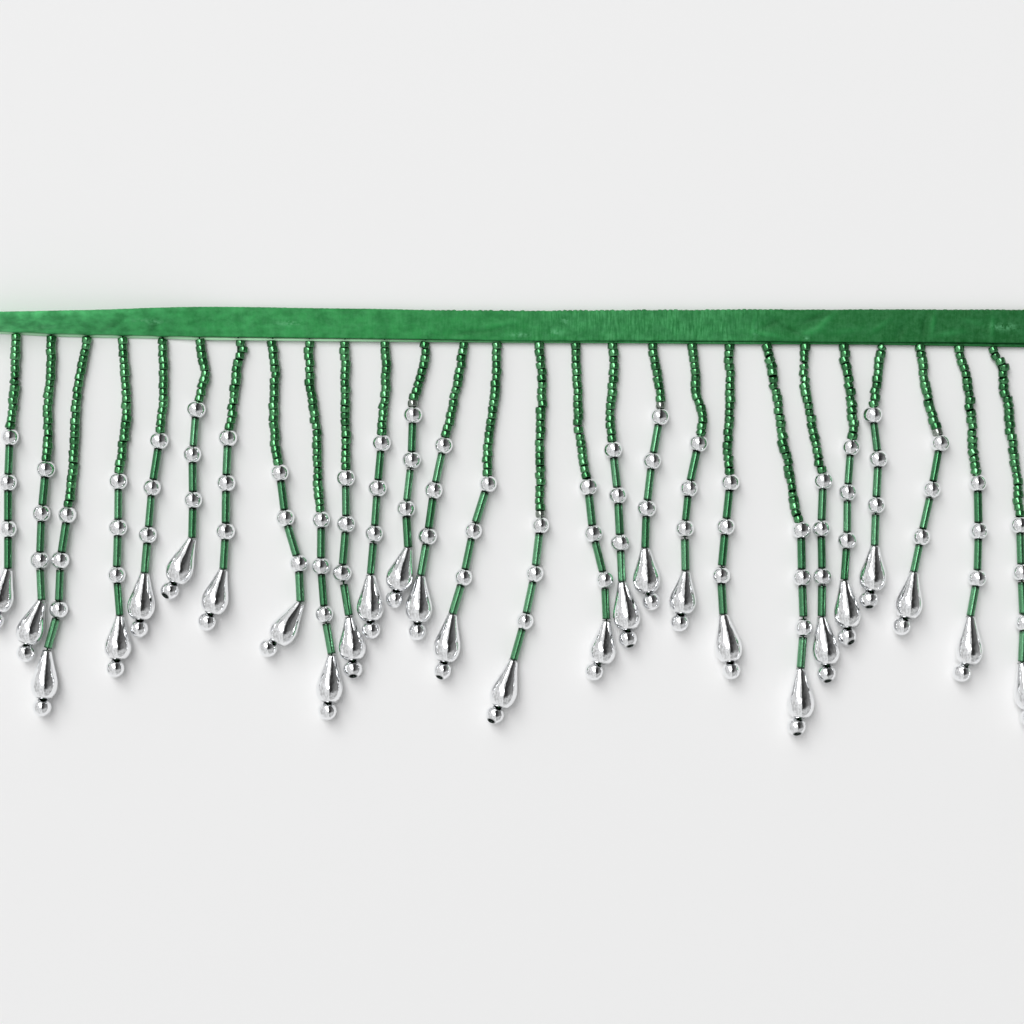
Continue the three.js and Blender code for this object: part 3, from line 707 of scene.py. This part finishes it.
# The seed beads: short lengths of silver-lined green glass tube, tumbled until their edges are round. No two
# are quite alike in width, and they sit a little askew on the thread, the more so to the right.
SEED_HALF_LENGTH = 0.72
SEED_EDGE = 0.6
SEED_EDGE_DARK = 0.5
SEED_SIDES = 12
SEED_OUTLINE = np.array([
    # along the hole, from the axis, in millimetres
    [-0.64, 0.44], [-0.72, 0.85], [-0.65, 1.02], [-0.42, 1.10], [0.42, 1.10], [0.65, 1.02], [0.72, 0.85],
    [0.64, 0.44],
])
FIRST_SEED_BACK = 0.4 * MM
SEED_WOBBLE = 0.02
THREE_CORNERED = 0.6
SIZE_SPREAD, SIZE_LIMITS = 0.04, (-0.1, 0.08)
SIDE_SPREAD = 0.09
TURN_SPREAD = 0.1
UNEVEN_FROM, UNEVEN_GAIN = 20, 1.6
STRAY_SHARE = 0.6
STRAY_SEEDS = np.array([[-57.6, -4.9], [14.2, -20.5], [108.2, -8.6], [63.6, -6.9]]) * MM
BARE_SEEDS = np.array([[-22.3, -16.6], [7.4, -41.6], [91.7, -22.9], [31.5, -16.8]]) * MM
GRAIN_CONTRAST = (0.3, 0.7)
FLANK_FACING = (0.22, 0.62)
THICK_GLASS = (0.003, 0.05, 0.014, 1)
GLASS_END = (0.001, 0.012, 0.004, 1)
WORN_LINING = (0.30, 0.34, 0.30, 1)


def bead_frames(axes):
    """Two unit vectors square to each axis: one level, to the side, and one as near upright as it goes."""
    side = unit(np.cross(axes, [0, 0, 1]))
    return side, np.cross(side, axes)


def turned_beads(centres, axes, outlines, sides, wobble):
    """Beads turned about their holes: each point lies along the axis and out from it at one of the angles.
    The outline is a closed loop, out along the bead and back through its hole. The wobble makes the round
    a little oval and three-cornered. A bead that would dip into the table is lifted onto it."""
    side, up = bead_frames(axes)
    angle = np.linspace(0, 2 * math.pi, sides, endpoint=False)
    phase = rng.uniform(0, 2 * math.pi, (2, len(centres), 1))
    oval = np.cos(2 * angle + phase[0]) + THREE_CORNERED * np.cos(3 * angle + phase[1])
    radial = (
        side[:, None] * np.cos(angle)[None, :, None] + up[:, None] * np.sin(angle)[None, :, None]
    ) * (1 + wobble * oval)[..., None]
    along = outlines[..., 0][:, None, :, None] * axes[:, None, None]
    out = outlines[..., 1][:, None, :, None] * radial[:, :, None]
    points = centres[:, None, None] + along + out
    points[..., 2] += np.maximum(-points[..., 2].min(axis=(1, 2)), 0)[:, None, None]
    return points


def add_beads(name, points, material, values):
    """One piece of many like beads, which rides on the root body and stands for the fringe's solid."""
    pieces, sides, outline = points.shape[:3]
    piece = mesh_piece(name, points, grid_faces(pieces, sides, outline, True, True))
    for key, value in values.items():
        spread = np.broadcast_to(value, (pieces, sides, outline))
        point_value(piece, key, spread)
    piece.data.materials.append(material)
    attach(piece, "root")
    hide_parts("bead_fringe")
    return piece


def nearest(places, targets):
    """For each target, the index of the place nearest to it in the flat."""
    apart = places[None, :, :2] - targets[:, None]
    return np.argmin(np.sum(apart * apart, axis=-1), axis=1)


def place_seeds():
    """The middles, axes and sizes of all seed beads: evenly strung along each run, then shaken sideways and
    turned a little, and none lower than its own radius. A stray bead and its neighbours are pushed towards
    its place by a Gauss bell's share."""
    middles, axes, uneven = [], [], []
    for strand, count in enumerate(seed_counts):
        length = route_lengths[strand][-1] - BALL_SEAT + FIRST_SEED_BACK
        distances = (np.arange(count) + 0.5) * length / count - FIRST_SEED_BACK
        place, direction = along_route(strand, distances)
        middles.append(place)
        axes.append(direction)
        uneven.append(np.full(count, UNEVEN_GAIN if strand >= UNEVEN_FROM else 1.0))
    middles, axes, uneven = (np.concatenate(part) for part in (middles, axes, uneven))
    total = len(middles)
    size = 1 + np.clip(rng.normal(0, SIZE_SPREAD, total) * uneven, *SIZE_LIMITS)
    side, _ = bead_frames(axes)
    middles = middles + side * (rng.normal(0, SIDE_SPREAD, total) * uneven * MM)[:, None]
    axes = unit(axes + rng.normal(0, TURN_SPREAD, (total, 3)) * uneven[:, None])
    for stray, place in zip(nearest(middles, STRAY_SEEDS), STRAY_SEEDS):
        pushed = np.exp(-((np.arange(total) - stray) ** 2)) * STRAY_SHARE
        middles[:, :2] += pushed[:, None] * (place - middles[stray, :2])
    middles[:, 2] = np.maximum(middles[:, 2], SEED_RADIUS * size)
    return middles, axes, size


def grain_group():
    """Fine unevenness of a hard surface: noise as a roughness between two limits, and as a bump whose height
    is given in metres."""
    sockets = [(name, "Float") for name in ("Scale", "Low", "High", "Bump")]
    tree, given = new_group("fine_grain", sockets, [("Roughness", "Float"), ("Normal", "Vector")])
    place = add_node(tree, "ShaderNodeTexCoord").outputs["Object"]
    noise = add_node(tree, "ShaderNodeTexNoise", {"Vector": place, "Scale": given["Scale"], "Detail": 3.0})
    rough = map_range(tree, noise, GRAIN_CONTRAST, (given["Low"], given["High"]))
    bump = add_node(tree, "ShaderNodeBump", {"Height": noise, "Distance": given["Bump"]})
    add_node(tree, "NodeGroupOutput", {"Roughness": rough, "Normal": bump})
    return tree


fine_grain = grain_group()


def glass_material(name, deep, light, flank_share, gloss):
    """Silver-lined green glass: the lining mirrors the room through the glass, so the shader is a green
    mirror under a clear coat, with a roughness between the two given as gloss. A bead's own tint goes from
    deep to light, its ends are darker, and so are its flanks, where the glass is thick and the lining is out
    of sight."""
    material, tree, shader = new_material(name, Metallic=0.92, Coat_Weight=0.5, Coat_Roughness=0.1)
    facing = add_node(tree, "ShaderNodeLayerWeight", {"Blend": 0.5}).outputs["Facing"]
    flank = map_range(tree, facing, FLANK_FACING, (0, flank_share))
    colour = mix(tree, point_mask(tree, "tint"), (*deep, 1), (*light, 1))
    colour = mix(tree, flank, colour, THICK_GLASS)
    colour = mix(tree, point_mask(tree, "rim"), colour, GLASS_END)
    colour = mix(tree, point_mask(tree, "bare"), colour, WORN_LINING)
    grain = place_group(tree, fine_grain, Scale=1500, Low=gloss[0], High=gloss[1], Bump=0.016 * MM).outputs
    set_inputs(shader, {"Base Color": colour, "Roughness": grain["Roughness"], "Normal": grain["Normal"]})
    return material


seed_middles, seed_axes, seed_sizes = place_seeds()
seed_outlines = SEED_OUTLINE[None] * MM * seed_sizes[:, None, None]
seed_points = turned_beads(seed_middles, seed_axes, seed_outlines, SEED_SIDES, SEED_WOBBLE)
seed_rim = smooth_step(np.abs(SEED_OUTLINE[:, 0]), SEED_EDGE, SEED_HALF_LENGTH)
seed_bare = np.zeros(len(seed_middles))
seed_bare[nearest(seed_middles, BARE_SEEDS)] = 1
seed_values = {
    "tint": rng.uniform(0, 1, (len(seed_middles), 1, 1)),
    "rim": SEED_EDGE_DARK * seed_rim[None, None],
    "bare": seed_bare[:, None, None],
}
seed_glass = glass_material(
    "seed_glass", deep=(0.034, 0.195, 0.062), light=(0.13, 0.44, 0.18), flank_share=0.75, gloss=(0.1, 0.24)
)
add_beads("seed_beads", seed_points, seed_glass, seed_values)


# The silver balls: 4 mm plastic beads with a mirror plating, one above each bugle and one that ends each
# strand. The moulded round is a little uneven, so no two mirror the room alike.
BALL_SIDES = 24
BALL_RINGS = 15
BALL_HOLE = 0.8 * MM
END_BALL_HOLE = 0.35 * MM
KNOT_HOLE = 0.75 * MM
HOLE_WALL, HOLE_TAPER = 0.6, 0.9
BALL_WOBBLE = 0.035
BALL_TURN = 0.05
# The plating round each hole is darkened: partly wear, partly painted shade where balls, bugles, teardrops
# and thread meet.
HOLE_WEAR_AND_SHADE, HOLE_WEAR_AND_SHADE_INNER, END_HOLE_WEAR_AND_SHADE = 0.9, 0.35, 0.4
PLATING = (0.93, 0.94, 0.95, 1)
PLATING_WORN_AND_SHADED = (0.03, 0.04, 0.035, 1)
TURNED_UP = np.array([
    # strand, and where its end ball's far hole shows from above, from the ball's middle in millimetres
    [6, -0.95, -1.40], [10, -0.10, -1.65], [14, -0.65, -1.60], [15, -0.85, -1.45], [17, 0.70, -1.65],
    [21, 0.05, -1.75], [22, 0.30, -1.70], [23, 0.75, -1.50], [24, 0.00, -1.70],
])


def ball_outlines(holes):
    """Half circles from the near hole to the far one, each closed by a straight hole wall."""
    near, far = np.arcsin(holes / BALL_RADIUS).T[..., None]
    angle = math.pi - near + np.linspace(0, 1, BALL_RINGS) * (near + far - math.pi)
    arcs = np.stack([np.cos(angle), np.sin(angle)], axis=-1) * BALL_RADIUS
    wall_along = np.broadcast_to(np.array([HOLE_WALL, -HOLE_WALL]) * BALL_RADIUS, holes.shape)
    walls = np.stack([wall_along, HOLE_TAPER * holes[:, ::-1]], axis=-1)
    return np.concatenate([arcs, walls], axis=1)


def silver_material():
    """Bright plating over plastic, with a trace of haze and of moulded unevenness. Round the holes the
    plating is darkened, partly by wear and partly as painted shade where the beads and the thread meet."""
    material, tree, shader = new_material("mirror_plating", Metallic=1.0)
    # painted shade and wear round the holes
    colour = mix(tree, point_mask(tree, "rim"), PLATING, PLATING_WORN_AND_SHADED)
    grain = place_group(tree, fine_grain, Scale=560, Low=0.03, High=0.09, Bump=0.1 * MM).outputs
    set_inputs(shader, {"Base Color": colour, "Roughness": grain["Roughness"], "Normal": grain["Normal"]})
    return material


ball_middles = np.concatenate([balls.reshape(-1, 3), ends])
links = np.concatenate([balls, necks[:, None]], axis=1)
first_in = np.stack([along_route(i, route_lengths[i][-1:] - BALL_SEAT)[1][0] for i in range(len(balls))])
incoming = np.concatenate([first_in[:, None], unit(np.diff(balls, axis=1))], axis=1)
outgoing = unit(np.diff(links, axis=1))
ball_axes = unit(incoming + outgoing).reshape(-1, 3)
end_axes = unit(unit(ends - drop_tips) + drop_axes)
turned_up = TURNED_UP[:, 0].astype(int) - 1
hole_shift = TURNED_UP[:, 1:] * MM / BALL_RADIUS
end_axes[turned_up, :2] = hole_shift
end_axes[turned_up, 2] = np.sqrt(1 - np.sum(hole_shift**2, axis=-1))
ball_turns = rng.normal(0, BALL_TURN, (len(ball_middles), 3))
ball_axes = unit(np.concatenate([ball_axes, end_axes]) + ball_turns)
silver = silver_material()
strung = 3 * len(balls)
ball_holes = np.full((len(ball_middles), 2), BALL_HOLE)
ball_holes[strung:] = END_BALL_HOLE
ball_holes[strung + turned_up, 1] = KNOT_HOLE
ball_points = turned_beads(ball_middles, ball_axes, ball_outlines(ball_holes), BALL_SIDES, BALL_WOBBLE)
# Painted shade and wear on the rings round each hole, and painted shade on the hole walls.
ball_rim = np.zeros((len(ball_middles), 1, BALL_RINGS + 2))
ball_rim[:strung, :, [0, BALL_RINGS - 1]] = HOLE_WEAR_AND_SHADE
ball_rim[:strung, :, [1, BALL_RINGS - 2]] = HOLE_WEAR_AND_SHADE_INNER
ball_rim[strung:, :, [0, BALL_RINGS - 1]] = END_HOLE_WEAR_AND_SHADE
ball_rim[strung + turned_up, :, BALL_RINGS - 1] = 1
ball_rim[..., BALL_RINGS:] = 1
add_beads("silver_balls", ball_points, silver, {"rim": ball_rim})


# The bugles: straight 7 mm lengths of silver-lined green glass tube, 1.8 mm thick, cut square. Each is held
# between two silver balls, or between the third ball and the teardrop.
BUGLE_RADIUS = 0.9 * MM
BUGLE_LENGTH = 6.9 * MM
BUGLE_SIDES = 14
BUGLE_CLEARANCE = 0.03 * MM
BUGLE_WOBBLE = 0.01
BUGLE_LENGTHS = (0.97, 1.02)
BUGLE_WIDTHS = (0.94, 1.04)
BALL_CONTACT = math.sqrt(BALL_RADIUS**2 - BUGLE_RADIUS**2)
BUGLE_OUTLINE = np.array([
    # share of the half-length, share of the radius, darkness
    [-0.97, 0.5, 1], [-1.0, 0.84, 1], [-0.98, 1.0, 0.95], [-0.9, 1.0, 0.7], [-0.78, 1.0, 0], [0.0, 1.0, 0],
    [0.86, 1.0, 0], [0.94, 1.0, 0.6], [0.98, 1.0, 0.9], [1.0, 0.84, 1], [0.97, 0.5, 1],
])

bugle_from = links[:, :-1].reshape(-1, 3)
bugle_to = links[:, 1:].reshape(-1, 3)
bugle_axes = unit(bugle_to - bugle_from)
far_contact = np.tile([BALL_CONTACT, BALL_CONTACT, 0], len(links))
space = np.linalg.norm(bugle_to - bugle_from, axis=-1) - BALL_CONTACT - far_contact - 2 * BUGLE_CLEARANCE
bugle_half = np.minimum(space, BUGLE_LENGTH * rng.uniform(*BUGLE_LENGTHS, len(space))) / 2
slack = space / 2 - bugle_half
shift = rng.uniform(-1, 1, len(space)) * slack
from_ball = BALL_CONTACT + BUGLE_CLEARANCE + slack + shift + bugle_half
bugle_middles = bugle_from + bugle_axes * from_ball[:, None]
bugle_sizes = np.stack([bugle_half, BUGLE_RADIUS * rng.uniform(*BUGLE_WIDTHS, len(space))], axis=-1)
bugle_outlines = BUGLE_OUTLINE[None, :, :2] * bugle_sizes[:, None]
bugle_points = turned_beads(bugle_middles, bugle_axes, bugle_outlines, BUGLE_SIDES, BUGLE_WOBBLE)
bugle_values = {
    "tint": rng.uniform(0, 1, (len(space), 1, 1)),
    "rim": BUGLE_OUTLINE[None, None, :, 2],
    "bare": np.zeros((1, 1, 1)),
}
bugle_glass = glass_material(
    "bugle_glass", deep=(0.055, 0.25, 0.10), light=(0.17, 0.45, 0.24), flank_share=0.3, gloss=(0.14, 0.28)
)
add_beads("bugle_beads", bugle_points, bugle_glass, bugle_values)


# The teardrops: 10 mm plastic beads with the same mirror plating, slender at the neck, widest low down, with
# a hole from end to end.
DROP_SIDES = 32
DROP_RINGS = 26
DROP_NECK = 0.97 * MM
DROP_TIP = 1.0 * MM
DROP_REACH = 0.2 * MM
DROP_WOBBLE = 0.01
DROP_CROWDING = 1.15
DROP_FLATNESS = (2.1, 0.56)
DROP_WALL = np.array([0.97, 0.03])
DROP_WALL_RADIUS = 0.6 * DROP_TIP
# The teardrop's neck and tip rings are darkened: partly wear, partly painted shade against the bugle, the
# end ball and the thread.
NECK_WEAR_AND_SHADE = 0.9
TIP_WEAR_AND_SHADE = [0.35, 0.5, 0.5, 0.6]


def drop_outlines():
    """From neck to tip: a taper t + t^4 - t^5 that swells to the widest place at 0.7 of the length, then a
    flattened quarter circle to the tip, closed by a straight hole wall. The rings crowd towards the tip."""
    place = np.sin(np.linspace(0, math.pi / 2, DROP_RINGS)) ** DROP_CROWDING
    t = np.clip(place / BULB_PLACE, 0, 1)
    past = np.clip((place - BULB_PLACE) / (1 - BULB_PLACE), 0, 1)
    swell = DROP_NECK + (DROP_RADIUS - DROP_NECK) * (t + t**4 - t**5)
    round_off = (1 - past ** DROP_FLATNESS[0]) ** DROP_FLATNESS[1]
    close = DROP_TIP / DROP_RADIUS + (1 - DROP_TIP / DROP_RADIUS) * round_off
    radius = np.where(past > 0, DROP_RADIUS * close, swell)
    along = np.concatenate([place, DROP_WALL])[None] * (drop_lengths + DROP_REACH)[:, None]
    out = np.broadcast_to(np.concatenate([radius, [DROP_WALL_RADIUS] * 2]), along.shape)
    return np.stack([along, out], axis=-1)


drop_points = turned_beads(necks, drop_axes, drop_outlines(), DROP_SIDES, DROP_WOBBLE)
# Painted shade and wear at the neck and tip, and painted shade inside the hole.
drop_rim = np.zeros(DROP_RINGS + 2)
drop_rim[0] = NECK_WEAR_AND_SHADE
drop_rim[DROP_RINGS - len(TIP_WEAR_AND_SHADE) : DROP_RINGS] = TIP_WEAR_AND_SHADE
drop_rim[DROP_RINGS:] = 1
add_beads("silver_teardrops", drop_points, silver, {"rim": drop_rim[None, None]})


# The thread: two plies of dark green polyester. It is stitched between the legs of the fold and runs down
# through every bead of a strand to the end ball, where it is knotted inside the hole.
THREAD_RADIUS = 0.19 * MM
THREAD_SIDES = 6
THREAD_START = 2.4 * MM
THREAD_START_HEIGHT = 0.6 * MM
THREAD_MOUTH_HEIGHT = 0.9 * MM
THREAD_TILTED = 0.1
THREAD_STEPS = 160
ROUTE_STRIDE = 6
KNOT_PLACE = 0.5 * BALL_RADIUS
DEEP_THREAD = (0.003, 0.025, 0.008, 1)
PALE_THREAD = (0.012, 0.08, 0.025, 1)


def thread_tubes():
    """A round tube about each strand's whole route, at even distances along it. In the fold it follows the
    tilt of the ribbon's legs."""
    tilt = np.radians(heading_column(4, roots) * TILT_SHARE)
    inside = np.stack(
        [
            roots,
            routes[:, 0, 1] + FIRST_SEED + THREAD_START * np.cos(tilt),
            THREAD_START_HEIGHT + THREAD_START * np.sin(tilt),
        ],
        axis=-1,
    )
    mouth_height = np.where(tilt > THREAD_TILTED, THREAD_START_HEIGHT, THREAD_MOUTH_HEIGHT)
    mouth = np.stack([roots, routes[:, 0, 1] + 2 * FIRST_SEED, mouth_height], axis=-1)
    knots = ends + end_axes * KNOT_PLACE
    parts = [
        inside[:, None], mouth[:, None], routes[:, 2::ROUTE_STRIDE], balls[:, 1:], necks[:, None],
        drop_tips[:, None], knots[:, None],
    ]
    tubes = []
    for path in np.concatenate(parts, axis=1):
        steps = np.linalg.norm(np.diff(path, axis=0), axis=-1)
        travelled = np.concatenate([[0], np.cumsum(steps)])
        at = np.linspace(0, travelled[-1], THREAD_STEPS)
        points = np.stack([np.interp(at, travelled, c) for c in path.T], axis=-1)
        side, up = bead_frames(unit(np.gradient(points, axis=0)))
        angle = np.linspace(0, 2 * math.pi, THREAD_SIDES, endpoint=False)
        out = side[:, None] * np.cos(angle)[:, None] + up[:, None] * np.sin(angle)[:, None]
        tubes.append(points[:, None] + out * THREAD_RADIUS)
    return np.stack(tubes)


def thread_material():
    """Twisted dark green thread: fine slanting lines of a paler green, and no gloss."""
    material, tree, shader = new_material("green_thread", Roughness=0.8, Specular_IOR_Level=0.2)
    place = add_node(tree, "ShaderNodeTexCoord").outputs["Object"]
    plies = place_group(tree, fine_lines, Vector=place, Scale=(6000, 1800, 3000))
    colour = mix(tree, plies, DEEP_THREAD, PALE_THREAD)
    bump = add_node(tree, "ShaderNodeBump", {"Strength": 0.5, "Distance": 0.05 * MM, "Height": plies})
    set_inputs(shader, {"Base Color": colour, "Normal": bump})
    return material


tubes = thread_tubes()
tube_count, tube_rings, tube_sides = tubes.shape[:3]
tube_faces = grid_faces(tube_count, tube_rings, tube_sides, False, True)
first_ring = np.arange(tube_sides)
tube_starts = np.arange(tube_count)[:, None] * tube_rings * tube_sides
top_caps = tube_starts + first_ring[::-1]
bottom_caps = tube_starts + (tube_rings - 1) * tube_sides + first_ring
threads = mesh_piece("strand_threads", tubes, tube_faces, (top_caps, bottom_caps))
threads.data.materials.append(thread_material())
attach(threads, "root")
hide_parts("bead_fringe")
